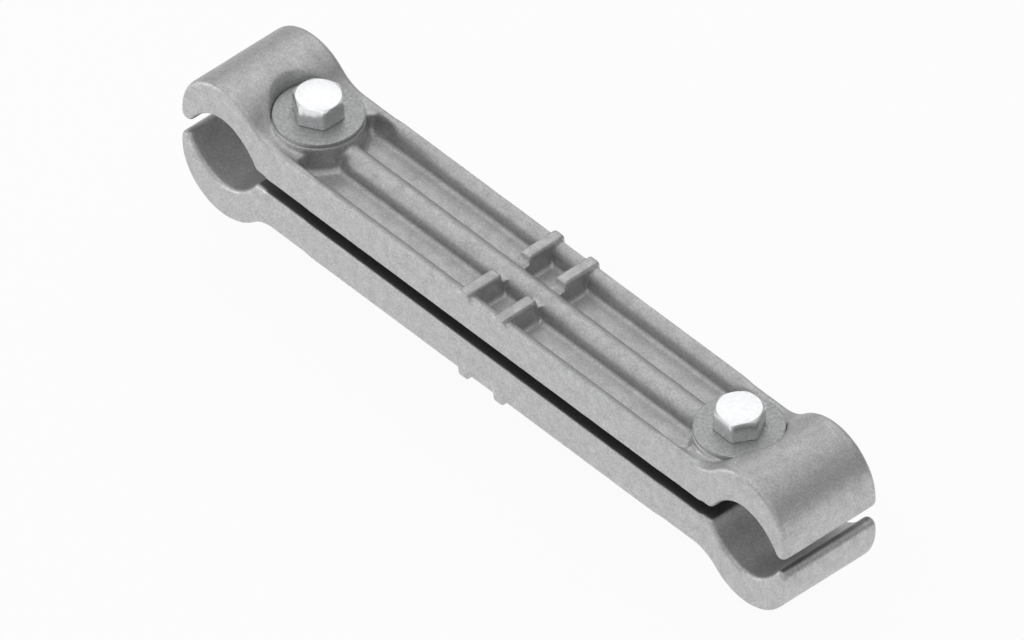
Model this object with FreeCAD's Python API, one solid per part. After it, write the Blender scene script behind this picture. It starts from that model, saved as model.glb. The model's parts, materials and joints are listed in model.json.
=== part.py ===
import FreeCAD, Part
import math
import os

# Spacer for a twin conductor bundle: two identical cast halves, drawn together by two through bolts.
# Millimetres, +Z up. The origin is the centre of the left conductor, midway between the halves.
# X runs along the spacer to the right conductor, and Y runs along the conductors.

# Conductors and the two halves
conductor_spacing = 304.8
clamp_radius = 16.9
casting_width = 50.0
parting_gap = 6.9

# Jaws: a seat arc over the conductor, relieved flanks, and the metal beside, above and behind them
seat_half_angle = 30.0
mouth_relief = 2.4
jaw_side_wall = 7.6
jaw_crown_wall = 16.6
jaw_bolt_wall = 3.25
neck_radius = 18.0
groove_corner_radius = 1.9
lip_corner_radius = 5.0
side_edge_chamfer = 1.3

# Channel bar between the jaws: a web with two rails, a centre rib and two troughs with leaning walls
web_thickness = 8.35
trough_depth = 9.5
rail_crest_radius = 1.95
rail_draft = 15.5
rib_crest_radius = 4.2
rib_draft = 20.0
foot_radius = 2.5
boss_foot_chamfer = 1.9
pocket_corner_radius = 3.3
shoulder_slope = 6.4

# Locating tabs across the troughs at mid-length
tab_spacing = 20.6
tab_thickness = 5.8
tab_rise = 1.6
tab_step_drop = 3.1
tab_inner_reach = 7.5
tab_overhang = 1.3
tab_edge_radius = 1.1
tab_foot = 1.2
tab_pad_height = 7.0

# Bolt boss, with a seat for the washer sunk into the foot of the jaw
boss_rise = 2.9
boss_margin = 0.3
seat_wall_height = 2.3
seat_mouth_radius = 7.0

# Fasteners
bolt_diameter = 12.0
bolt_length = 70.0
bolt_hole_clearance = 0.75
hex_across_flats = 19.0
hex_chamfer_angle = 30.0
head_height = 9.8
washer_radius = 18.6
washer_thickness = 2.0
washer_hole_clearance = 0.5
spring_washer_width = 4.2
spring_washer_thickness = 2.5
spring_washer_clearance = 0.3
spring_washer_slit = 1.4
spring_washer_slit_angle = 20.0
nut_height = 10.0
nut_running_clearance = 0.05
left_head_turn = 30.0
right_head_turn = 0.0
nut_turn = 30.0

# Places that follow from the sizes above, for the upper half
inner_face_z = parting_gap / 2
trough_floor_z = inner_face_z + web_thickness
rail_top_z = trough_floor_z + trough_depth
seat_z = rail_top_z + boss_rise
bearing_z = seat_z + washer_thickness
middle_x = conductor_spacing / 2
half_width = casting_width / 2
rail_peak_y = half_width - rail_crest_radius
rail_shoulder_z = rail_top_z - rail_crest_radius
bolt_radius = bolt_diameter / 2
bolt_hole_radius = bolt_radius + bolt_hole_clearance
mouth_half = clamp_radius + mouth_relief
bolt_x = mouth_half + jaw_bolt_wall + bolt_hole_radius
boss_radius = washer_radius + boss_margin
jaw_radius = clamp_radius + jaw_side_wall
jaw = (0.0, clamp_radius + jaw_crown_wall - jaw_radius)
neck_z = rail_top_z + neck_radius
neck = (math.sqrt((jaw_radius + neck_radius) ** 2 - (neck_z - jaw[1]) ** 2), neck_z)
rail_run_in = neck_radius / 4
trough_foot = min(foot_radius, 0.9 * pocket_corner_radius)
end_length = bolt_x + boss_radius + 2 * trough_foot
cut_top_z = max(jaw[1] + jaw_radius, seat_z + seat_wall_height + seat_mouth_radius) + 1.0


def on_xy(a, b):
    return FreeCAD.Vector(a, b, 0)


def on_xz(a, b):
    return FreeCAD.Vector(a, 0, b)


def on_yz(a, b):
    return FreeCAD.Vector(0, a, b)


def towards(start, end, distance):
    """The point at a distance from start on the way to end."""
    share = distance / math.dist(start, end)
    return (start[0] + share * (end[0] - start[0]), start[1] + share * (end[1] - start[1]))


class Outline:
    """A closed outline in one plane, drawn from point to point with lines and arcs."""

    def __init__(self, plane, start):
        self.plane = plane
        self.start = start
        self.here = start
        self.edges = []

    def line(self, end):
        self.edges.append(Part.makeLine(self.plane(*self.here), self.plane(*end)))
        self.here = end

    def over(self, peak, end):
        """An arc that passes through the point peak."""
        arc = Part.Arc(self.plane(*self.here), self.plane(*peak), self.plane(*end))
        self.edges.append(arc.toShape())
        self.here = end

    def arc(self, centre, end):
        """An arc about centre, of less than half a turn."""
        chord_middle = ((self.here[0] + end[0]) / 2, (self.here[1] + end[1]) / 2)
        self.over(towards(centre, chord_middle, math.dist(centre, end)), end)

    def face(self):
        self.line(self.start)
        return Part.Face(Part.Wire(self.edges))


def extruded(face, low, high):
    """The face of an outline, extruded from low to high across the plane it was drawn in."""
    normal = face.normalAt(0, 0)
    across = FreeCAD.Vector(abs(normal.x), abs(normal.y), abs(normal.z))
    face.translate(across * low)
    return face.extrude(across * (high - low))


def turned(outline):
    """The solid of revolution about the bolt's axis of an outline of (radius, z) points."""
    solid = outline.face().revolve(FreeCAD.Vector(0, 0, 0), FreeCAD.Vector(0, 0, 1), 360)
    solid.translate(FreeCAD.Vector(bolt_x, 0, 0))
    return solid


def disc(radius, low_z, high_z):
    """A cylinder on the bolt's axis."""
    return Part.makeCylinder(radius, high_z - low_z, FreeCAD.Vector(bolt_x, 0, low_z))


def mirrored(shape, normal, x=0.0):
    return shape.mirror(FreeCAD.Vector(x, 0, 0), FreeCAD.Vector(*normal))


def near(a, b):
    return abs(a - b) < 0.001


def groove_flank():
    """Centre and radius of the groove's right flank, from the seat arc out to the mouth."""
    angle = math.radians(90 - seat_half_angle)
    outward = (math.cos(angle), math.sin(angle))
    seat_end = (clamp_radius * outward[0], clamp_radius * outward[1])
    chord = (mouth_half - seat_end[0], inner_face_z - seat_end[1])
    lean = chord[0] * outward[0] + chord[1] * outward[1]
    radius = -(chord[0] ** 2 + chord[1] ** 2) / (2 * lean)
    return towards(seat_end, (0, 0), radius), radius


def draw_groove(outline):
    """The groove from the bar's side to the lip, with a rounded corner at each end."""
    flank, radius = groove_flank()
    corner_z = inner_face_z + groove_corner_radius
    corner_x = flank[0] + math.sqrt((radius + groove_corner_radius) ** 2 - (corner_z - flank[1]) ** 2)
    corner = (corner_x, corner_z)
    flank_end = towards(flank, corner, radius)
    seat_end = towards(flank, (0, 0), radius)
    outline.line((corner_x, inner_face_z))
    outline.arc(corner, flank_end)
    outline.arc(flank, seat_end)
    outline.arc((0, 0), (-seat_end[0], seat_end[1]))
    outline.arc((-flank[0], flank[1]), (-flank_end[0], flank_end[1]))
    outline.arc((-corner_x, corner_z), (-corner_x, inner_face_z))
    return corner_x


def end_block():
    """Jaw, lip and neck of the left end, as one profile across the width with chamfered side edges."""
    slope = math.radians(shoulder_slope)
    neck_foot = (neck[0] - neck_radius * math.sin(slope), neck[1] - neck_radius * math.cos(slope))
    outline = Outline(on_xz, (neck_foot[0], inner_face_z))
    lip_start = draw_groove(outline)
    lip_room = min(jaw_radius - lip_start, jaw[1] - inner_face_z)
    outer = min(lip_corner_radius, 0.9 * lip_room)
    outer_corner = (outer - jaw_radius, inner_face_z + outer)
    outline.line((outer_corner[0], inner_face_z))
    outline.arc(outer_corner, (-jaw_radius, outer_corner[1]))
    outline.line((-jaw_radius, jaw[1]))
    outline.arc(jaw, towards(jaw, neck, jaw_radius))
    outline.arc(neck, neck_foot)
    block = extruded(outline.face(), -half_width, half_width)

    def is_side_edge(middle):
        return near(abs(middle.y), half_width) and not near(middle.x, neck_foot[0])

    chamfer = min(side_edge_chamfer, 0.9 * groove_corner_radius, 0.9 * outer)
    return block.makeChamfer(chamfer, [edge for edge in block.Edges if is_side_edge(edge.CenterOfMass)])


def shoulder_z(x):
    """Height of the shoulder beside the boss. It falls from the neck towards the trough."""
    slope = math.radians(shoulder_slope)
    start_x = neck[0] - neck_radius * math.sin(slope)
    start_z = neck[1] - neck_radius * math.cos(slope)
    return start_z - (x - start_x) * math.tan(slope)


class Wall:
    """A leaning trough wall in the bar's section, from a round crest down to a rounded foot."""

    def __init__(self, peak_y, crest_radius, draft, facing):
        lean = math.radians(draft)
        crest_z = rail_top_z - crest_radius
        top = (peak_y + facing * crest_radius * math.cos(lean), crest_z + crest_radius * math.sin(lean))
        corner_y = top[0] + facing * (top[1] - trough_floor_z) * math.tan(lean)
        foot_y = corner_y + facing * trough_foot * (1 / math.cos(lean) - math.tan(lean))
        self.crest = (peak_y, crest_z)
        self.top = top
        self.foot = (foot_y, trough_floor_z + trough_foot)
        self.foot_top = (
            foot_y - facing * trough_foot * math.cos(lean),
            trough_floor_z + trough_foot * (1 - math.sin(lean)),
        )
        self.floor = (foot_y, trough_floor_z)


def trough_walls():
    """The walls of the trough on the +Y side: the rail's and the rib's."""
    rail = Wall(rail_peak_y, rail_crest_radius, rail_draft, -1)
    rib = Wall(0.0, rib_crest_radius, rib_draft, 1)
    return rail, rib


def draw_trough(outline):
    """The trough on the +Y side, from the top of the rail's wall to the top of the rib's wall."""
    rail, rib = trough_walls()
    outline.line(rail.foot_top)
    outline.arc(rail.foot, rail.floor)
    outline.line(rib.floor)
    outline.arc(rib.foot, rib.foot_top)
    outline.line(rib.top)


def bar_half(open_trough, low_x, high_x):
    """The +Y half of the bar. Where its trough isn't open, it is filled up to the rib's crest."""
    rail, rib = trough_walls()
    outline = Outline(on_yz, (0, inner_face_z))
    outline.line((half_width, inner_face_z))
    outline.line((half_width, rail_shoulder_z))
    outline.arc(rail.crest, rail.top)
    if open_trough:
        draw_trough(outline)
    else:
        outline.line(rib.top)
    outline.arc(rib.crest, (0, rail_top_z))
    return extruded(outline.face(), low_x, high_x)


def both_halves(half):
    """A solid on the +Y side, joined to its mirror image."""
    return half.fuse(mirrored(half, (0, 1, 0)))


def pocket_corner():
    """Centre of the rounded plan corner where the trough runs out between boss and rail."""
    y = trough_walls()[0].top[0] - pocket_corner_radius
    return (bolt_x + math.sqrt((boss_radius + pocket_corner_radius) ** 2 - y ** 2), y)


def shoulder():
    """Fill between the rails at the end of the troughs, up to the sloping shoulder."""
    low_x = neck[0] - neck_radius * math.sin(math.radians(shoulder_slope))
    high_x = pocket_corner()[0]
    outline = Outline(on_xz, (low_x, inner_face_z))
    outline.line((low_x, shoulder_z(low_x)))
    outline.line((high_x, shoulder_z(high_x)))
    outline.line((high_x, inner_face_z))
    return extruded(outline.face(), -rail_peak_y, rail_peak_y)


def trough_end():
    """The hollow end of the trough on the +Y side, round the boss, with a sloping foot at the boss."""
    open_x = end_length + trough_foot
    bolt = (bolt_x, 0.0)
    corner = pocket_corner()
    rail, rib = trough_walls()
    plan = Outline(on_xy, (open_x, 0))
    plan.line((bolt_x + boss_radius, 0))
    plan.arc(bolt, towards(bolt, corner, boss_radius))
    plan.arc(corner, (corner[0], rail.top[0]))
    plan.line((open_x, rail.top[0]))

    around_boss = extruded(plan.face(), trough_floor_z, cut_top_z)

    def is_boss_foot(middle):
        return near(middle.z, trough_floor_z) and middle.y > 0.001 and middle.x < corner[0]

    boss_foot = [edge for edge in around_boss.Edges if is_boss_foot(edge.CenterOfMass)]
    around_boss = around_boss.makeChamfer(boss_foot_chamfer, boss_foot)
    section = Outline(on_yz, (rail.top[0], cut_top_z))
    section.line(rail.top)
    draw_trough(section)
    section.line((rib.top[0], cut_top_z))
    return around_boss.common(extruded(section.face(), bolt_x, open_x))


def seat_recess():
    """What the washer's seat takes out of the jaw's foot: a short wall that rolls out above the washer."""
    wall_top = seat_z + seat_wall_height
    mouth = boss_radius + seat_mouth_radius
    outline = Outline(on_xz, (0, seat_z))
    outline.line((boss_radius, seat_z))
    outline.line((boss_radius, wall_top))
    outline.arc((mouth, wall_top), (mouth, wall_top + seat_mouth_radius))
    outline.line((mouth, cut_top_z))
    outline.line((0, cut_top_z))
    return turned(outline)


def casting_end():
    """The left end of a casting: jaw, neck, boss, washer seat and the ends of the troughs."""
    start_x = neck[0] - rail_run_in
    end = end_block()
    end = end.fuse(both_halves(bar_half(False, start_x, end_length)))
    end = end.fuse(shoulder())
    end = end.fuse(disc(boss_radius, rail_top_z - rib_crest_radius, seat_z))
    hollow = trough_end()
    end = end.cut(hollow)
    end = end.cut(mirrored(hollow, (0, 1, 0)))
    end = end.cut(seat_recess())
    return end.cut(disc(bolt_hole_radius, 0, cut_top_z))


def tab_side():
    """Outline of a tab seen along the spacer. Its outer end stands out from the rail and fades into it."""
    edge = min(tab_edge_radius, 0.4 * tab_thickness)
    top_z = rail_top_z + tab_rise
    step_z = top_z - tab_step_drop
    outer_y = half_width + tab_overhang
    low_z = trough_floor_z - web_thickness / 2
    side = Outline(on_yz, (rib_crest_radius / 2, low_z))
    side.line((rib_crest_radius / 2, step_z))
    side.line((tab_inner_reach, step_z))
    side.line((tab_inner_reach, top_z - edge))
    side.arc((tab_inner_reach + edge, top_z - edge), (tab_inner_reach + edge, top_z))
    side.line((outer_y - edge, top_z))
    side.arc((outer_y - edge, top_z - edge), (outer_y, top_z - edge))
    side.line((outer_y, step_z))
    side.line((rail_peak_y, step_z - tab_pad_height))
    side.line((rail_peak_y, low_z))
    return side.face()


def tab():
    """One tab across the trough on the +Y side, centred on x = 0, with a flared foot and end pad."""
    half = tab_thickness / 2
    edge = min(tab_edge_radius, 0.4 * tab_thickness)
    top_z = rail_top_z + tab_rise
    bury = web_thickness / 2
    low_z = trough_floor_z - bury

    across = Outline(on_xz, (-half - tab_foot - bury, low_z))
    across.line((-half, trough_floor_z + tab_foot))
    across.line((-half, top_z - edge))
    across.arc((edge - half, top_z - edge), (edge - half, top_z))
    across.line((half - edge, top_z))
    across.arc((half - edge, top_z - edge), (half, top_z - edge))
    across.line((half, trough_floor_z + tab_foot))
    across.line((half + tab_foot + bury, low_z))

    flare = half + tab_overhang
    pad = Outline(on_xy, (-flare, rail_peak_y))
    pad.line((-flare, half_width))
    pad.line((-half, half_width + tab_overhang))
    pad.line((half, half_width + tab_overhang))
    pad.line((flare, half_width))
    pad.line((flare, rail_peak_y))

    reach = half + tab_foot + 2 * bury
    wall = extruded(tab_side(), -reach, reach).common(extruded(across.face(), 0, casting_width))
    end_pad = extruded(tab_side(), -reach, reach).common(extruded(pad.face(), low_z, rail_shoulder_z))
    return wall.fuse(end_pad)


def casting():
    """One cast half, above the parting gap."""
    left_end = casting_end()
    bar = both_halves(bar_half(True, end_length, conductor_spacing - end_length))
    body = bar.fuse([left_end, mirrored(left_end, (1, 0, 0), middle_x)])
    for x in (middle_x - tab_spacing / 2, middle_x + tab_spacing / 2):
        upper_tab = tab()
        upper_tab.translate(FreeCAD.Vector(x, 0, 0))
        body = body.fuse([upper_tab, mirrored(upper_tab, (0, 1, 0))])
    return body.removeSplitter()


def hexagon(low_z, high_z, turn):
    """A plain hexagon on the bolt's axis."""
    corner = hex_across_flats / 2 / math.cos(math.radians(30))
    outline = None
    for step in range(6):
        angle = math.radians(turn + 60 * step)
        point = (bolt_x + corner * math.cos(angle), corner * math.sin(angle))
        if outline is None:
            outline = Outline(on_xy, point)
        else:
            outline.line(point)
    return extruded(outline.face(), low_z, high_z)


def bolt(turn):
    """Hexagon bolt. The head's upper corners are turned down by a shallow cone."""
    head_top_z = bearing_z + head_height
    flat = hex_across_flats / 2
    wide = 2 * flat
    drop = (wide - flat) * math.tan(math.radians(hex_chamfer_angle))
    cone = Outline(on_xz, (0, bearing_z))
    cone.line((wide, bearing_z))
    cone.line((wide, head_top_z - drop))
    cone.line((flat, head_top_z))
    cone.line((0, head_top_z))
    head = hexagon(bearing_z, head_top_z, turn).common(turned(cone))
    return disc(bolt_radius, bearing_z - bolt_length, bearing_z).fuse(head)


def washer():
    """Large flat washer on the seat."""
    hole = bolt_radius + washer_hole_clearance
    return disc(washer_radius, seat_z, bearing_z).cut(disc(hole, seat_z, bearing_z))


def spring_washer():
    """Split spring washer, flat as when tightened, with an oblique slit."""
    inner = bolt_radius + spring_washer_clearance
    outer = inner + spring_washer_width
    high_z = -bearing_z
    low_z = high_z - spring_washer_thickness
    ring = disc(outer, low_z, high_z).cut(disc(inner, low_z, high_z))
    tall = 4 * spring_washer_thickness
    slit = Part.makeBox(2 * outer, spring_washer_slit, tall)
    slit.translate(FreeCAD.Vector(0, -spring_washer_slit / 2, -tall / 2))
    slit.rotate(FreeCAD.Vector(0, 0, 0), FreeCAD.Vector(1, 0, 0), spring_washer_slit_angle)
    slit.translate(FreeCAD.Vector(bolt_x, 0, (low_z + high_z) / 2))
    return ring.cut(slit)


def nut():
    """Hexagon nut under the spring washer, its bore a running fit on the bolt."""
    low_z = bearing_z + spring_washer_thickness
    high_z = low_z + nut_height
    bore = bolt_radius + nut_running_clearance
    return mirrored(hexagon(low_z, high_z, nut_turn).cut(disc(bore, low_z, high_z)), (0, 0, 1))


def moved_right(shape):
    """A copy of a fastener on the right bolt's axis."""
    copy = shape.copy()
    copy.translate(FreeCAD.Vector(conductor_spacing - 2 * bolt_x, 0, 0))
    return copy


def main():
    upper_half = casting()
    flat_washer = washer()
    parts = {
        "upper_casting": upper_half,
        "lower_casting": mirrored(upper_half, (0, 0, 1)),
        "left_bolt": bolt(left_head_turn),
        "right_bolt": moved_right(bolt(right_head_turn)),
        "left_upper_washer": flat_washer,
        "left_lower_washer": mirrored(flat_washer, (0, 0, 1)),
        "left_spring_washer": spring_washer(),
        "left_nut": nut(),
    }
    for name in ("upper_washer", "lower_washer", "spring_washer", "nut"):
        parts["right_" + name] = moved_right(parts["left_" + name])
    os.makedirs("parts", exist_ok=True)
    for name, shape in parts.items():
        shape.exportStep("parts/" + name + ".step")


main()
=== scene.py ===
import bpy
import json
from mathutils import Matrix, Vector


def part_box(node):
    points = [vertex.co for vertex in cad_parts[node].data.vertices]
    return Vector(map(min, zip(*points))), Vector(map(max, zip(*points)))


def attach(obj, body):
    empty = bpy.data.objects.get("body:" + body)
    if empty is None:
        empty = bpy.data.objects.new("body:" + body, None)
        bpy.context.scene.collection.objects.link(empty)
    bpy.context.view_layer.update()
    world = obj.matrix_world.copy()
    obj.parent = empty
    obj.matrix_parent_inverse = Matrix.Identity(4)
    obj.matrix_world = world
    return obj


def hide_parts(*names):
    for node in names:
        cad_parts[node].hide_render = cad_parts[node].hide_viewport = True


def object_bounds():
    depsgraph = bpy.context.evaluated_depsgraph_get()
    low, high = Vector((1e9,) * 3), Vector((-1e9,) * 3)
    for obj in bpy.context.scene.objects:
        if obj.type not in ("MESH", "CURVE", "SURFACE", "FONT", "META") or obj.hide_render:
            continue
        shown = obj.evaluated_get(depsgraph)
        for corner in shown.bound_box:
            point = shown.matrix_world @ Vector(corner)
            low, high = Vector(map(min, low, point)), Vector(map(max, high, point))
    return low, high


bl_info = {
    "name": "Conductor spacer",
    "version": (1, 0, 0),
    "blender": (4, 5, 0),
    "location": "3D View > Sidebar > Spacer",
    "description": "Finishes a cast twin-conductor spacer: cast skin, bolts, nuts, washers and a plain studio",
    "category": "Add Mesh",
}

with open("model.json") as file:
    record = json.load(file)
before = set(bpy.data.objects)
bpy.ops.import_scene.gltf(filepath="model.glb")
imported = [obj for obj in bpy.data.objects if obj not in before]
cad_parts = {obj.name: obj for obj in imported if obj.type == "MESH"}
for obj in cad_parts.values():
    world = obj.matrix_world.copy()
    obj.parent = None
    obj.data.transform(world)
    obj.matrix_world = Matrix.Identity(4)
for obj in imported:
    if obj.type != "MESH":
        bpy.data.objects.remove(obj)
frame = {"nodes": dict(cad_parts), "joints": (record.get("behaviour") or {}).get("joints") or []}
cad_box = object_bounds()

import json
import math

import bmesh
import bpy
from bpy.props import FloatProperty, FloatVectorProperty, IntProperty, PointerProperty
from mathutils import Matrix, Vector, noise

MM = 0.001
SIDES = ("left", "right")
MERGE_DISTANCE = 0.002 * MM
RING_POINTS = 96


def linear(hex_text):
    """The linear colour of an sRGB hex value."""
    channels = [int(hex_text[i:i + 2], 16) / 255 for i in (0, 2, 4)]
    return tuple(c / 12.92 if c <= 0.04045 else ((c + 0.055) / 1.055) ** 2.4 for c in channels)


def bolt_axis(side):
    """The point on a bolt's axis at the parting plane."""
    joint = next(j for j in frame["joints"] if j["name"] == side + "_bolt_turn")
    return Vector(joint["pos_m"])


# Sizes and colours that a user would change

class CastingSettings(bpy.types.PropertyGroup):
    skin_step: FloatProperty(
        name="Skin step", description="Grid size of the cast skin, which also rounds its edges",
        default=0.6 * MM, unit="LENGTH", subtype="DISTANCE")
    edge_passes: IntProperty(
        name="Edge passes", description="How many times the cast skin is smoothed", default=5)
    jaw_passes: IntProperty(
        name="Jaw passes", description="How many times more the jaws and bosses are smoothed", default=10)
    bar_passes: IntProperty(
        name="Bar passes", description="How many times more the rib and rails are smoothed", default=4)
    rib_radius: FloatProperty(
        name="Rib radius", description="Radius of the rib's broad round crest",
        default=6.1 * MM, unit="LENGTH", subtype="DISTANCE")
    rib_drop: FloatProperty(
        name="Rib drop", description="How far the rib stays below the rails",
        default=1.0 * MM, unit="LENGTH", subtype="DISTANCE")
    rail_radius: FloatProperty(
        name="Rail radius", description="Radius that the rails fall away with, towards the troughs",
        default=5.7 * MM, unit="LENGTH", subtype="DISTANCE")
    trough_depth: FloatProperty(
        name="Trough depth", description="From the rails down to the trough floor",
        default=9.5 * MM, unit="LENGTH", subtype="DISTANCE")
    tab_spacing: FloatProperty(
        name="Tab spacing", description="From one pair of tabs to the other",
        default=20.6 * MM, unit="LENGTH", subtype="DISTANCE")
    tab_thickness: FloatProperty(
        name="Tab thickness", description="Thickness of the tabs along the bar",
        default=5.8 * MM, unit="LENGTH", subtype="DISTANCE")
    tab_step_drop: FloatProperty(
        name="Tab step drop", description="From a tab's top down to the step at its inner end",
        default=4.3 * MM, unit="LENGTH", subtype="DISTANCE")
    most_triangles: IntProperty(
        name="Most triangles", description="Triangles that one cast half may have", default=190000)
    unevenness: FloatProperty(
        name="Unevenness", description="How far the mould's surface wanders in and out",
        default=0.06 * MM, unit="LENGTH", subtype="DISTANCE")
    unevenness_size: FloatProperty(
        name="Unevenness size", description="Distance from one swell to the next",
        default=9 * MM, unit="LENGTH", subtype="DISTANCE")
    light_grey: FloatVectorProperty(
        name="Light grey", description="Clean as-cast aluminium", subtype="COLOR",
        default=linear("D1D2D2"), min=0, max=1)
    dark_grey: FloatVectorProperty(
        name="Dark grey", description="Oxide and mould stain in the grain", subtype="COLOR",
        default=linear("B0B0AF"), min=0, max=1)
    roughness: FloatProperty(
        name="Roughness", description="Roughness of the as-cast skin", default=0.54, subtype="FACTOR")
    grain: FloatProperty(
        name="Grain", description="Size of the fine grain of the mould's face",
        default=0.9 * MM, unit="LENGTH", subtype="DISTANCE")
    mottle: FloatProperty(
        name="Mottle", description="Size of the cloudy patches", default=5 * MM,
        unit="LENGTH", subtype="DISTANCE")


class FastenerSettings(bpy.types.PropertyGroup):
    plated: FloatVectorProperty(
        name="Zinc plate", description="Bright zinc plating of bolts and nuts", subtype="COLOR",
        default=linear("EBECED"), min=0, max=1)
    plated_roughness: FloatProperty(
        name="Plate roughness", description="Roughness of the bright plating", default=0.24,
        subtype="FACTOR")
    galvanised: FloatVectorProperty(
        name="Galvanising", description="Dull zinc skin of the flat washers", subtype="COLOR",
        default=linear("BBBCBC"), min=0, max=1)
    galvanised_roughness: FloatProperty(
        name="Galvanising roughness", description="Roughness of the washers", default=0.5,
        subtype="FACTOR")
    across_flats: FloatProperty(
        name="Across flats", description="Width of heads and nuts", default=19 * MM,
        unit="LENGTH", subtype="DISTANCE")
    corner_loss: FloatProperty(
        name="Corner loss", description="How far a hexagon's corners are rounded back",
        default=0.25 * MM, unit="LENGTH", subtype="DISTANCE")
    chamfer_angle: FloatProperty(
        name="Chamfer angle", description="Slope of the chamfer on heads and nuts",
        default=math.radians(30), unit="ROTATION", subtype="ANGLE")
    bearing_face: FloatProperty(
        name="Bearing face", description="Height of the round face under a head",
        default=0.2 * MM, unit="LENGTH", subtype="DISTANCE")
    edge_rounding: FloatProperty(
        name="Edge rounding", description="Rounding of the steel pieces' edges",
        default=0.14 * MM, unit="LENGTH", subtype="DISTANCE")
    washer_rounding: FloatProperty(
        name="Washer rounding", description="Rolled upper edge of the stamped flat washers",
        default=0.55 * MM, unit="LENGTH", subtype="DISTANCE")
    pitch: FloatProperty(
        name="Pitch", description="Thread pitch", default=1.75 * MM, unit="LENGTH", subtype="DISTANCE")
    thread_length: FloatProperty(
        name="Thread length", description="Threaded length from the bolt's point",
        default=30 * MM, unit="LENGTH", subtype="DISTANCE")
    point_chamfer: FloatProperty(
        name="Point chamfer", description="Chamfer at the bolt's point", default=1.5 * MM,
        unit="LENGTH", subtype="DISTANCE")
    left_turn: FloatProperty(
        name="Left head turn", description="Where the left head's corners stand",
        default=math.radians(30), unit="ROTATION", subtype="ANGLE")
    right_turn: FloatProperty(
        name="Right head turn", description="Where the right head's corners stand",
        default=0.0, unit="ROTATION", subtype="ANGLE")
    nut_turn: FloatProperty(
        name="Nut turn", description="Where the nuts' corners stand",
        default=math.radians(30), unit="ROTATION", subtype="ANGLE")


class StageSettings(bpy.types.PropertyGroup):
    azimuth: FloatProperty(
        name="Azimuth", description="Direction that the camera looks from",
        default=math.radians(47.53), unit="ROTATION", subtype="ANGLE")
    elevation: FloatProperty(
        name="Elevation", description="Height of the camera above the horizon",
        default=math.radians(42.85), unit="ROTATION", subtype="ANGLE")
    view_width: FloatProperty(
        name="View width", description="Width of the picture at the object", default=404.4 * MM,
        unit="LENGTH", subtype="DISTANCE")
    aim_left: FloatProperty(
        name="Aim left", description="How far left of the bar's middle the picture is centred",
        default=6.69 * MM, unit="LENGTH", subtype="DISTANCE")
    aim_down: FloatProperty(
        name="Aim down", description="How far below the bar's middle the picture is centred",
        default=0.87 * MM, unit="LENGTH", subtype="DISTANCE")
    zenith_light: FloatProperty(
        name="Zenith light", description="Strength of the light from straight above", default=0.92)
    horizon_light: FloatProperty(
        name="Horizon light", description="Strength of the light from the horizon", default=0.3)
    side_share: FloatProperty(
        name="Side share", description="How much darker the sky is on the side away from the low lamp",
        default=0.7, min=0, max=1, subtype="FACTOR")
    top_light: FloatProperty(
        name="Top light", description="Power of the wide lamp above the object", default=2.4,
        unit="POWER")
    panel_light: FloatProperty(
        name="Panel light", description="Power of the panel that the bolt heads mirror", default=1.4,
        unit="POWER")
    side_light: FloatProperty(
        name="Side light", description="Power of the low lamp at the left", default=3.9,
        unit="POWER")
    right_light: FloatProperty(
        name="Right light", description="Power of the low lamp at the right", default=1.25,
        unit="POWER")
    floor_grey: FloatVectorProperty(
        name="Floor", description="Colour of the floor", subtype="COLOR",
        default=linear("F4F4F4"), min=0, max=1)
    floor_glow: FloatProperty(
        name="Floor glow", description="Share of plain white in the floor that the camera sees",
        default=0.93, min=0, max=1, subtype="FACTOR")


# Finishes

def new_material(name):
    material = bpy.data.materials.new(name)
    material.use_nodes = True
    material.node_tree.nodes.clear()
    return material


def add_node(tree, kind, links=(), **values):
    """Adds a node. Values are settings or inputs by name, and links are (input, output socket) pairs."""
    node = tree.nodes.new("ShaderNode" + kind)
    for key, value in values.items():
        if hasattr(node, key):
            setattr(node, key, value)
        else:
            node.inputs[key.replace("_", " ")].default_value = value
    for name, socket in links:
        tree.links.new(socket, node.inputs[name])
    return node


def ramp(tree, factor, low, high, low_colour, high_colour):
    """A ramp from one colour to another between two values of the factor."""
    node = add_node(tree, "ValToRGB", [("Fac", factor)])
    first, last = node.color_ramp.elements
    first.position = low
    last.position = high
    first.color = (*low_colour, 1)
    last.color = (*high_colour, 1)
    return node.outputs["Color"]


def grey(value):
    return (value, value, value)


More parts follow.
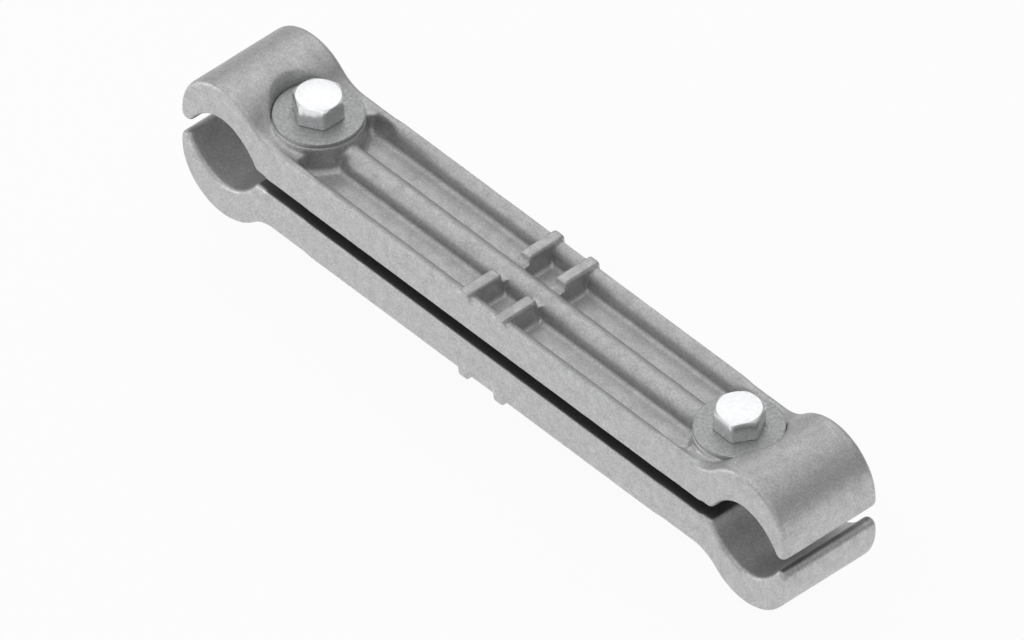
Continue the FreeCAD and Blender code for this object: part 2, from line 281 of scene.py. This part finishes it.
def cast_aluminium(settings):
    """Sand-cast aluminium alloy, tumbled but not machined: a matte grey skin with a fine grain, cloudy
    patches of oxide and a few small pits."""
    material = new_material("as_cast_aluminium")
    tree = material.node_tree
    place = add_node(tree, "TexCoord").outputs["Object"]
    grain = add_node(tree, "TexNoise", [("Vector", place)], Scale=1 / settings.grain, Detail=3.0,
                     Roughness=0.62).outputs["Fac"]
    mottle = add_node(tree, "TexNoise", [("Vector", place)], Scale=1 / settings.mottle, Detail=4.0,
                      Roughness=0.6).outputs["Fac"]
    pits = add_node(tree, "TexVoronoi", [("Vector", place)], Scale=0.3 / settings.grain,
                    Randomness=1.0).outputs["Distance"]
    blend = add_node(tree, "Mix", [("A", grain), ("B", mottle)], data_type="FLOAT", Factor=0.28)
    cloud = blend.outputs["Result"]
    colour = ramp(tree, cloud, 0.34, 0.66, settings.dark_grey, settings.light_grey)
    # Painted shade: the faces at the parting plane face each other across the gap between the halves. They are
    # darkened to 0.4 of their colour, which stands in for the shade that falls in the gap.
    height = add_node(tree, "SeparateXYZ", [("Vector", place)]).outputs["Z"]
    off_middle = add_node(tree, "Math", [(0, height)], operation="ABSOLUTE").outputs[0]
    half_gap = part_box("upper_casting")[0].z
    gap_shade = add_node(tree, "MapRange", [("Value", off_middle)], From_Min=half_gap + 0.05 * MM,
                     From_Max=half_gap + 0.35 * MM, To_Min=0.4, To_Max=1.0).outputs["Result"]
    colour_with_gap_shade = add_node(tree, "VectorMath", [(0, colour), (1, gap_shade)], operation="MULTIPLY").outputs["Vector"]
    roughness = ramp(tree, mottle, 0.3, 0.7, grey(settings.roughness + 0.06), grey(settings.roughness - 0.05))
    pit = ramp(tree, pits, 0.02, 0.16, grey(0), grey(1))
    relief = add_node(tree, "Mix", [("A", grain), ("B", mottle)], data_type="FLOAT", Factor=0.3)
    pitted = add_node(tree, "Math", [(0, relief.outputs["Result"]), (1, pit)], operation="MULTIPLY")
    bump = add_node(tree, "Bump", [("Height", pitted.outputs[0])], Strength=0.4, Distance=0.12 * MM)
    shader = add_node(tree, "BsdfPrincipled", [
        ("Base Color", colour_with_gap_shade), ("Roughness", roughness), ("Normal", bump.outputs["Normal"]),
    ], Metallic=1.0)
    add_node(tree, "OutputMaterial", [("Surface", shader.outputs["BSDF"])])
    return material


def steel(name, colour, darkest, roughness, spot, wave, depth):
    """Zinc-coated carbon steel. The zinc's spots are drawn larger than real, so that they show."""
    material = new_material(name)
    tree = material.node_tree
    place = add_node(tree, "TexCoord").outputs["Object"]
    spots = add_node(tree, "TexNoise", [("Vector", place)], Scale=1 / spot, Detail=4.0,
                     Roughness=0.6).outputs["Fac"]
    waves = add_node(tree, "TexNoise", [("Vector", place)], Scale=1 / wave, Detail=2.0).outputs["Fac"]
    darker = tuple(darkest * c for c in colour)
    tint = ramp(tree, spots, 0.35, 0.65, darker, colour)
    rough = ramp(tree, spots, 0.3, 0.7, grey(roughness * 1.25), grey(roughness * 0.85))
    height = add_node(tree, "Mix", [("A", spots), ("B", waves)], data_type="FLOAT", Factor=0.6)
    bump = add_node(tree, "Bump", [("Height", height.outputs["Result"])], Strength=0.35, Distance=depth)
    shader = add_node(tree, "BsdfPrincipled", [
        ("Base Color", tint), ("Roughness", rough), ("Normal", bump.outputs["Normal"]),
    ], Metallic=1.0)
    add_node(tree, "OutputMaterial", [("Surface", shader.outputs["BSDF"])])
    return material


def plated_steel(settings):
    """Bright zinc-plated steel: nearly a mirror, with faint spots where it was handled."""
    return steel("bright_zinc_plated_steel", tuple(settings.plated), 0.96, settings.plated_roughness,
                 2 * MM, 6 * MM, 0.003 * MM)


def galvanised_steel(settings):
    """Galvanised steel: a dull zinc skin with soft blotches."""
    return steel("dull_galvanised_steel", tuple(settings.galvanised), 0.8, settings.galvanised_roughness,
                 1.2 * MM, 4 * MM, 0.05 * MM)


def finish(name, make, settings):
    """The material of that name, made the first time it is asked for."""
    return bpy.data.materials.get(name) or make(settings)


# Shapes

def merged_copy(node_name):
    """A mesh of a frame node with its loose triangles joined."""
    shape = bmesh.new()
    shape.from_mesh(frame["nodes"][node_name].data)
    bmesh.ops.remove_doubles(shape, verts=shape.verts, dist=MERGE_DISTANCE)
    return shape


def new_object(shape, name):
    mesh = bpy.data.meshes.new(name)
    shape.to_mesh(mesh)
    shape.free()
    piece = bpy.data.objects.new(name, mesh)
    bpy.context.scene.collection.objects.link(piece)
    return piece


def apply_modifiers(piece):
    """Replaces a piece's mesh with what its modifiers make of it."""
    bpy.context.view_layer.update()
    graph = bpy.context.evaluated_depsgraph_get()
    made = bpy.data.meshes.new_from_object(piece.evaluated_get(graph))
    made.name = piece.name
    piece.modifiers.clear()
    piece.data = made


def dress(piece, material, body, slot, *nodes):
    """Gives a finished piece its material and its body, and hides the frame nodes that it stands for. The slot is
    not used.
    """
    piece.data.materials.clear()
    piece.data.materials.append(material)
    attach(piece, body)
    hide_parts(*nodes)


def smooth_by_angle(piece, degrees):
    piece.data.shade_smooth()
    piece.data.set_sharp_from_angle(angle=math.radians(degrees))


def round_edges(piece, width, degrees):
    """Rounds every edge sharper than an angle, and applies the result."""
    bevel = piece.modifiers.new("Rounded edges", "BEVEL")
    bevel.width = width
    bevel.segments = 2
    bevel.limit_method = "ANGLE"
    bevel.angle_limit = math.radians(degrees)
    apply_modifiers(piece)


def ring(shape, radius_at, height_at):
    """A closed ring of edges about Z. Its radius follows the angle, and its height the radius."""
    points = bmesh.ops.create_circle(shape, segments=RING_POINTS, radius=1.0)["verts"]
    for point in points:
        angle = math.atan2(point.co.y, point.co.x)
        radius = radius_at(angle)
        point.co = (radius * math.cos(angle), radius * math.sin(angle), height_at(radius))
    return list({edge for point in points for edge in point.link_edges})


def round_ring(shape, radius, height):
    return ring(shape, lambda angle: radius, lambda r: height)


def join_rings(shape, rings):
    """Walls from each ring to the next."""
    for lower, upper in zip(rings, rings[1:]):
        bmesh.ops.bridge_loops(shape, edges=lower + upper)


def hexagon_radius(settings, turn):
    """How far a hexagon reaches at an angle, with its corners rounded back."""
    flat = settings.across_flats / 2
    corner = flat / math.cos(math.radians(30)) - settings.corner_loss

    def reach(angle):
        from_flat = (angle - turn) % math.radians(60) - math.radians(30)
        return min(flat / math.cos(from_flat), corner)

    return reach


def hexagon_rings(shape, settings, turn, low, high, chamfer_low):
    """The outer rings of a head or nut from low to high, with the cone chamfer above, and below too."""
    flat = 0.97 * settings.across_flats / 2
    slope = math.tan(settings.chamfer_angle)
    reach = hexagon_radius(settings, turn)
    rings = []
    if chamfer_low:
        rings.append(round_ring(shape, flat, low))
        rings.append(ring(shape, reach, lambda r: low + (r - flat) * slope))
    else:
        rings.append(ring(shape, reach, lambda r: low))
    rings.append(ring(shape, reach, lambda r: high - (r - flat) * slope))
    rings.append(round_ring(shape, flat, high))
    return rings


def thread(shape, settings, radius, low, high):
    """A right-hand thread about Z from low to high, open at both ends. Its point is chamfered."""
    pitch = settings.pitch
    crest = pitch / 8
    depth = 0.6134 * pitch
    flank = depth * math.tan(math.radians(30))
    root = pitch - crest - 2 * flank
    heights = (0, crest, crest + flank, crest + flank + root, pitch)
    radii = (radius, radius, radius - depth, radius - depth, radius)
    start = low - 2 * pitch
    points = [shape.verts.new((r, 0, start + h)) for r, h in zip(radii, heights)]
    edges = [shape.edges.new(pair) for pair in zip(points, points[1:])]
    turns = math.ceil((high - start) / pitch) + 1
    steps = 40
    bmesh.ops.spin(
        shape, geom=points + edges, cent=(0, 0, 0), axis=(0, 0, 1), dvec=(0, 0, pitch / steps),
        angle=2 * math.pi * turns, steps=steps * turns)
    bmesh.ops.remove_doubles(shape, verts=shape.verts, dist=MERGE_DISTANCE)
    for height, normal in ((low, (0, 0, -1)), (high, (0, 0, 1))):
        everything = shape.verts[:] + shape.edges[:] + shape.faces[:]
        bmesh.ops.bisect_plane(
            shape, geom=everything, dist=MERGE_DISTANCE, plane_co=(0, 0, height), plane_no=normal,
            clear_outer=True)
    for point in shape.verts:
        limit = radius - settings.point_chamfer + max(0, point.co.z - low)
        reach = point.co.xy.length
        if reach > limit:
            point.co.xy = point.co.xy * (limit / reach)


def on_arc(point, centre, radius, outward):
    """The place on a crest's arc that a point of the bar's section moves to. Below the centre, the wall
    runs straight down."""
    if point.y > centre.y:
        return centre + (point - centre).normalized() * radius
    return Vector((centre.x + outward * radius, point.y))


def boundary(shape, height):
    """The open edges at a height."""
    return [
        edge for edge in shape.edges
        if edge.is_boundary and all(abs(point.co.z - height) < 0.01 * MM for point in edge.verts)
    ]


def place_on_axis(shape, side):
    """Moves a finished shape to its bolt's axis, with its faces pointing outwards."""
    bmesh.ops.recalc_face_normals(shape, faces=shape.faces)
    bmesh.ops.translate(shape, verts=shape.verts, vec=bolt_axis(side))


# Pieces

class SPACER_OT_castings(bpy.types.Operator):
    """Makes the cast skin of both halves, with soft edges and an uneven mould surface"""
    bl_idname = "spacer.castings"
    bl_label = "Cast halves"

    def execute(self, context):
        settings = context.scene.spacer_casting
        material = finish("as_cast_aluminium", cast_aluminium, settings)
        upper = new_object(merged_copy("upper_casting"), "upper_cast_half")
        skin = upper.modifiers.new("Cast skin", "REMESH")
        skin.mode = "VOXEL"
        skin.voxel_size = settings.skin_step
        soft = upper.modifiers.new("Soft edges", "SMOOTH")
        soft.factor = 0.5
        soft.iterations = settings.edge_passes
        apply_modifiers(upper)
        self.soften_ends(upper, settings)
        self.round_bar(upper, settings)
        triangles = 2 * len(upper.data.polygons)
        lighter = upper.modifiers.new("Fewer faces", "DECIMATE")
        lighter.ratio = min(1.0, settings.most_triangles / triangles)
        apply_modifiers(upper)
        self.make_uneven(upper.data, settings)
        self.keep_inside(upper.data, *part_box("upper_casting"))
        lower_shape = bmesh.new()
        lower_shape.from_mesh(upper.data)
        bmesh.ops.scale(lower_shape, vec=(1, 1, -1), verts=lower_shape.verts)
        bmesh.ops.reverse_faces(lower_shape, faces=lower_shape.faces)
        lower = new_object(lower_shape, "lower_cast_half")
        for piece, half in ((upper, "upper"), (lower, "lower")):
            piece.data.shade_smooth()
            dress(piece, material, half + "_clamp", "cast_aluminium", half + "_casting")
        return {"FINISHED"}

    @staticmethod
    def soften_ends(piece, settings):
        """Smooths the jaws and bosses more than the bar and its tabs."""
        reach = bolt_axis("left").x + (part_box("left_upper_washer")[1].y + 3 * MM)
        low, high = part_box("upper_casting")
        ends = piece.vertex_groups.new(name="ends")
        for vertex in piece.data.vertices:
            from_end = min(vertex.co.x - low.x, high.x - vertex.co.x)
            weight = min(1.0, max(0.0, (reach - low.x - from_end) / (4 * MM)))
            if weight > 0:
                ends.add([vertex.index], weight, "REPLACE")
        soft = piece.modifiers.new("Soft ends", "SMOOTH")
        soft.factor = 0.5
        soft.iterations = settings.jaw_passes
        soft.vertex_group = "ends"
        apply_modifiers(piece)

    @staticmethod
    def round_bar(piece, settings):
        """Gives the rib a broad round crest, and lets the rails fall away towards the troughs in an arc."""
        low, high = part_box("upper_casting")
        middle = (low.x + high.x) / 2
        start = bolt_axis("left").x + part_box("left_upper_washer")[1].y
        plain = [v.co for v in piece.data.vertices if abs(v.co.x - middle) < middle / 2
                 and abs(v.co.x - middle) > settings.tab_spacing]
        rail_top = max(co.z for co in plain)
        half_width = max(co.y for co in plain)
        step_z = max(v.co.z for v in piece.data.vertices if abs(v.co.x - middle) < settings.tab_spacing)
        step_z -= settings.tab_step_drop
        foot_z = rail_top - settings.trough_depth + 0.6 * MM
        rib = Vector((0, rail_top - settings.rib_drop - settings.rib_radius))
        rail = Vector((half_width - 0.2 * MM, rail_top - settings.rail_radius))
        bar = piece.vertex_groups.new(name="bar")
        for vertex in piece.data.vertices:
            x, y, z = vertex.co
            from_end = min(x, 2 * middle - x) - start
            off_tab = abs(abs(x - middle) - settings.tab_spacing / 2) - settings.tab_thickness / 2
            if z < foot_z or from_end < 0:
                continue
            share = min(1.0, from_end / (6 * MM)) * min(1.0, (z - foot_z) / (2.5 * MM))
            side = math.copysign(1, y)
            here = Vector((abs(y), z))
            if here.x < rib.x + settings.rib_radius + 1.5 * MM:
                if off_tab > 0.4 * MM:
                    target = on_arc(here, rib, settings.rib_radius, 1)
                elif z > step_z and here.x < settings.rib_radius + 1 * MM:
                    crest = rib.y + math.sqrt(max(0, settings.rib_radius ** 2 - y ** 2))
                    target = Vector((here.x, min(z, max(crest, step_z))))
                else:
                    continue
            elif rail.x - settings.rail_radius - 1.5 * MM < here.x < rail.x and off_tab > 0.4 * MM:
                target = on_arc(here, rail, settings.rail_radius, -1)
            else:
                continue
            here = here.lerp(target, share)
            vertex.co.y = side * here.x
            vertex.co.z = here.y
            bar.add([vertex.index], min(1.0, max(0.0, off_tab / MM)) * share, "REPLACE")
        soft = piece.modifiers.new("Soft bar", "SMOOTH")
        soft.factor = 0.5
        soft.iterations = settings.bar_passes
        soft.vertex_group = "bar"
        apply_modifiers(piece)

    @staticmethod
    def make_uneven(mesh, settings):
        """Moves each point along its normal by a slow noise, as a mould's face wanders."""
        size = settings.unevenness_size
        normals = [vertex.normal.copy() for vertex in mesh.vertices]
        for vertex, normal in zip(mesh.vertices, normals):
            swell = noise.noise(vertex.co / size) + 0.5 * noise.noise(vertex.co * 3 / size)
            vertex.co += normal * (settings.unevenness * swell)

    @staticmethod
    def keep_inside(mesh, low, high):
        """Pulls points that stand out of a box back to its faces."""
        for vertex in mesh.vertices:
            vertex.co = [min(max(c, a), b) for c, a, b in zip(vertex.co, low, high)]


class SPACER_OT_bolts(bpy.types.Operator):
    """Makes both hexagon bolts, with a bearing face, a plain shank and a rolled thread"""
    bl_idname = "spacer.bolts"
    bl_label = "Through bolts"

    def execute(self, context):
        settings = context.scene.spacer_fastener
        material = finish("bright_zinc_plated_steel", plated_steel, settings)
        for side, turn in zip(SIDES, (settings.left_turn, settings.right_turn)):
            name = side + "_bolt"
            low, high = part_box(name)
            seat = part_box(side + "_upper_washer")[1].z
            radius = self.shank_radius(side)
            thread_top = low.z + settings.thread_length
            shape = bmesh.new()
            thread(shape, settings, radius, low.z, thread_top)
            bmesh.ops.holes_fill(shape, edges=boundary(shape, low.z))
            face_radius = settings.across_flats / 2 - 0.6 * MM
            head_low = seat + settings.bearing_face
            shank = round_ring(shape, radius, thread_top)
            bmesh.ops.bridge_loops(shape, edges=boundary(shape, thread_top) + shank)
            rings = [shank, round_ring(shape, radius, seat), round_ring(shape, face_radius, seat)]
            rings.append(round_ring(shape, face_radius, head_low))
            rings += hexagon_rings(shape, settings, turn, head_low, high.z, False)
            join_rings(shape, rings)
            bmesh.ops.edgeloop_fill(shape, edges=rings[-1])
            place_on_axis(shape, side)
            piece = new_object(shape, side + "_hexagon_bolt")
            round_edges(piece, settings.edge_rounding, 24)
            smooth_by_angle(piece, 40)
            dress(piece, material, name, "plated_steel", name)
        return {"FINISHED"}

    @staticmethod
    def shank_radius(side):
        """Radius of the bolt, read from its frame node between the halves."""
        axis = bolt_axis(side)
        node = frame["nodes"][side + "_bolt"]
        under_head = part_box(side + "_upper_washer")[0].z
        return max((v.co.xy - axis.xy).length for v in node.data.vertices if v.co.z < under_head)


class SPACER_OT_nuts(bpy.types.Operator):
    """Makes both hexagon nuts, chamfered on both faces, with a countersunk bore"""
    bl_idname = "spacer.nuts"
    bl_label = "Nuts"

    def execute(self, context):
        settings = context.scene.spacer_fastener
        material = finish("bright_zinc_plated_steel", plated_steel, settings)
        for side in SIDES:
            name = side + "_nut"
            low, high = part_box(name)
            bore = SPACER_OT_bolts.shank_radius(side) + 0.05 * MM
            mouth = bore + 0.7 * MM
            shape = bmesh.new()
            rings = hexagon_rings(shape, settings, settings.nut_turn, low.z, high.z, True)
            rings.append(round_ring(shape, mouth, high.z))
            rings.append(round_ring(shape, bore, high.z - 0.7 * MM))
            rings.append(round_ring(shape, bore, low.z + 0.7 * MM))
            rings.append(round_ring(shape, mouth, low.z))
            rings.append(rings[0])
            join_rings(shape, rings)
            place_on_axis(shape, side)
            piece = new_object(shape, side + "_hexagon_nut")
            round_edges(piece, settings.edge_rounding, 24)
            smooth_by_angle(piece, 40)
            dress(piece, material, "lower_clamp", "plated_steel", name)
        return {"FINISHED"}


class SPACER_OT_flat_washers(bpy.types.Operator):
    """Makes the four large flat washers, stamped from sheet with a rolled outer edge"""
    bl_idname = "spacer.flat_washers"
    bl_label = "Flat washers"

    def execute(self, context):
        settings = context.scene.spacer_fastener
        material = finish("dull_galvanised_steel", galvanised_steel, settings)
        for side in SIDES:
            for half, outside in (("upper", 1), ("lower", -1)):
                name = f"{side}_{half}_washer"
                low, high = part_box(name)
                self.make(name, low, high, outside, side, settings, material, half + "_clamp")
        return {"FINISHED"}

    @staticmethod
    def make(name, low, high, outside, side, settings, material, body):
        """One washer. Its rolled edge is on the face that points away from the castings."""
        outer = (high.x - low.x) / 2
        hole = SPACER_OT_bolts.shank_radius(side) + 0.5 * MM
        middle = (low.z + high.z) / 2
        half = (high.z - low.z) / 2
        roll = settings.washer_rounding
        burr = 0.15 * MM
        section = [(hole + burr, -half), (outer - burr, -half), (outer, burr - half)]
        for step in range(7):
            angle = math.radians(15 * step)
            section.append((outer - roll + roll * math.cos(angle), half - roll + roll * math.sin(angle)))
        section += [(hole + 2 * burr, half), (hole, half - 2 * burr), (hole, burr - half)]
        shape = bmesh.new()
        points = [shape.verts.new((r, 0, middle + outside * h)) for r, h in section]
        edges = [shape.edges.new(pair) for pair in zip(points, points[1:] + points[:1])]
        bmesh.ops.spin(
            shape, geom=points + edges, cent=(0, 0, 0), axis=(0, 0, 1), angle=2 * math.pi,
            steps=144, use_merge=True)
        place_on_axis(shape, side)
        piece = new_object(shape, name + "_stamped")
        smooth_by_angle(piece, 40)
        dress(piece, material, body, "galvanised_steel", name)


class SPACER_OT_spring_washers(bpy.types.Operator):
    """Makes the two split spring washers, with rounded edges"""
    bl_idname = "spacer.spring_washers"
    bl_label = "Spring washers"

    def execute(self, context):
        settings = context.scene.spacer_fastener
        material = finish("bright_zinc_plated_steel", plated_steel, settings)
        for side in SIDES:
            name = side + "_spring_washer"
            shape = merged_copy(name)
            bmesh.ops.dissolve_limit(
                shape, angle_limit=math.radians(0.5), verts=shape.verts, edges=shape.edges)
            piece = new_object(shape, name + "_split")
            round_edges(piece, 2 * settings.edge_rounding, 40)
            smooth_by_angle(piece, 40)
            dress(piece, material, "lower_clamp", "plated_steel", name)
        return {"FINISHED"}


class SPACER_OT_stage(bpy.types.Operator):
    """Makes the pale floor, the soft lamps, the world and the camera"""
    bl_idname = "spacer.stage"
    bl_label = "Stage"

    def execute(self, context):
        settings = context.scene.spacer_stage
        middle = Vector(((cad_box[0].x + cad_box[1].x) / 2, 0, 0))
        self.make_camera(context, settings, middle)
        self.make_floor(settings, cad_box[0].z)
        self.make_world(context, settings)
        mirrored = Vector((-math.sin(settings.azimuth), math.cos(settings.azimuth), math.tan(settings.elevation)))
        self.make_lamp("top_lamp", settings.top_light, middle, Vector((-0.3, -0.6, 1.8)), 1.6)
        self.make_lamp("panel_lamp", settings.panel_light, middle, 1.6 * mirrored.normalized(), 0.9)
        self.make_lamp("side_lamp", settings.side_light, middle, Vector((-1.2, -0.95, 0.17)), 0.45)
        self.make_lamp("right_lamp", settings.right_light, middle, Vector((1.3, 0.5, 0.04)), 0.4)
        context.scene.view_settings.view_transform = "Standard"
        return {"FINISHED"}

    @staticmethod
    def make_camera(context, settings, middle):
        azimuth = settings.azimuth
        elevation = settings.elevation
        right = Vector((math.cos(azimuth), math.sin(azimuth), 0))
        back = Vector((math.sin(azimuth) * math.cos(elevation), -math.cos(azimuth) * math.cos(elevation),
                       math.sin(elevation)))
        up = back.cross(right)
        aim = middle - right * settings.aim_left - up * settings.aim_down
        data = bpy.data.cameras.new("camera")
        data.type = "ORTHO"
        data.ortho_scale = settings.view_width
        data.clip_start = 0.01
        data.clip_end = 10
        camera = bpy.data.objects.new("camera", data)
        camera.matrix_world = Matrix.Translation(aim + back) @ (-back).to_track_quat("-Z", "Y").to_matrix().to_4x4()
        context.scene.collection.objects.link(camera)
        context.scene.camera = camera

    @staticmethod
    def make_floor(settings, height):
        """A wide floor, white to the camera apart from a faint shadow."""
        shape = bmesh.new()
        bmesh.ops.create_grid(shape, x_segments=8, y_segments=8, size=6)
        bmesh.ops.translate(shape, verts=shape.verts, vec=(0, 0, height))
        floor = new_object(shape, "floor")
        material = new_material("floor")
        tree = material.node_tree
        diffuse = add_node(tree, "BsdfDiffuse", Color=(*settings.floor_grey, 1))
        white = add_node(tree, "Emission", Color=(1, 1, 1, 1), Strength=1.0)
        shown = add_node(tree, "MixShader", [(1, diffuse.outputs[0]), (2, white.outputs[0])],
                         Fac=settings.floor_glow)
        ray = add_node(tree, "LightPath")
        seen = add_node(tree, "Math", [
            (0, ray.outputs["Is Camera Ray"]), (1, ray.outputs["Is Glossy Ray"]),
        ], operation="MAXIMUM")
        mixed = add_node(tree, "MixShader", [
            ("Fac", seen.outputs[0]), (1, diffuse.outputs[0]), (2, shown.outputs[0]),
        ])
        add_node(tree, "OutputMaterial", [("Surface", mixed.outputs[0])])
        floor.data.materials.append(material)

    @staticmethod
    def make_world(context, settings):
        world = bpy.data.worlds.new("studio")
        world.use_nodes = True
        tree = world.node_tree
        tree.nodes.clear()
        ray = add_node(tree, "LightPath")
        seen = add_node(tree, "Math", [
            (0, ray.outputs["Is Camera Ray"]), (1, ray.outputs["Is Transmission Ray"]),
        ], operation="MAXIMUM")
        place = add_node(tree, "TexCoord").outputs["Generated"]
        height = add_node(tree, "SeparateXYZ", [("Vector", place)]).outputs["Z"]
        level = ramp(tree, height, 0.0, 1.0, grey(settings.horizon_light), grey(settings.zenith_light))
        facing = add_node(tree, "VectorMath", [(0, place)], operation="DOT_PRODUCT")
        facing.inputs[1].default_value = (-0.87, -0.5, 0)
        side = add_node(tree, "MapRange", [("Value", facing.outputs["Value"])], From_Min=-0.85,
                        From_Max=-0.35, To_Min=1 - settings.side_share, To_Max=1.0).outputs["Result"]
        strength = add_node(tree, "Math", [(0, level), (1, side)], operation="MULTIPLY").outputs[0]
        light = add_node(tree, "Background", [("Strength", strength)], Color=(1, 1, 1, 1))
        backdrop = add_node(tree, "Background", Color=(1, 1, 1, 1), Strength=1.0)
        mixed = add_node(tree, "MixShader", [
            ("Fac", seen.outputs[0]), (1, light.outputs[0]), (2, backdrop.outputs[0]),
        ])
        add_node(tree, "OutputWorld", [("Surface", mixed.outputs[0])])
        context.scene.world = world

    @staticmethod
    def make_lamp(name, power, middle, offset, size):
        data = bpy.data.lights.new(name, "AREA")
        data.energy = power
        data.size = size
        lamp = bpy.data.objects.new(name, data)
        lamp.matrix_world = (Matrix.Translation(middle + offset)
                             @ (-offset).to_track_quat("-Z", "Y").to_matrix().to_4x4())
        bpy.context.scene.collection.objects.link(lamp)


class SPACER_PT_panel(bpy.types.Panel):
    """Lists the pieces and their settings in the 3D view's sidebar"""
    bl_idname = "SPACER_PT_panel"
    bl_label = "Conductor spacer"
    bl_space_type = "VIEW_3D"
    bl_region_type = "UI"
    bl_category = "Spacer"

    def draw(self, context):
        for operator in OPERATORS:
            self.layout.operator(operator.bl_idname)
        for group in GROUPS:
            box = self.layout.box()
            settings = getattr(context.scene, group)
            for name in settings.bl_rna.properties.keys():
                if name not in ("rna_type", "name"):
                    box.prop(settings, name)


GROUPS = {
    "spacer_casting": CastingSettings,
    "spacer_fastener": FastenerSettings,
    "spacer_stage": StageSettings,
}
OPERATORS = (
    SPACER_OT_castings,
    SPACER_OT_bolts,
    SPACER_OT_nuts,
    SPACER_OT_flat_washers,
    SPACER_OT_spring_washers,
    SPACER_OT_stage,
)


def register():
    for kind in (*GROUPS.values(), *OPERATORS, SPACER_PT_panel):
        bpy.utils.register_class(kind)
    for name, kind in GROUPS.items():
        setattr(bpy.types.Scene, name, PointerProperty(type=kind))


def unregister():
    for name in GROUPS:
        delattr(bpy.types.Scene, name)
    for kind in (SPACER_PT_panel, *reversed(OPERATORS), *reversed(list(GROUPS.values()))):
        bpy.utils.unregister_class(kind)


def main():
    register()
    bpy.ops.spacer.castings()
    bpy.ops.spacer.bolts()
    bpy.ops.spacer.nuts()
    bpy.ops.spacer.flat_washers()
    bpy.ops.spacer.spring_washers()
    bpy.ops.spacer.stage()


if __name__ == "__main__":
    main()
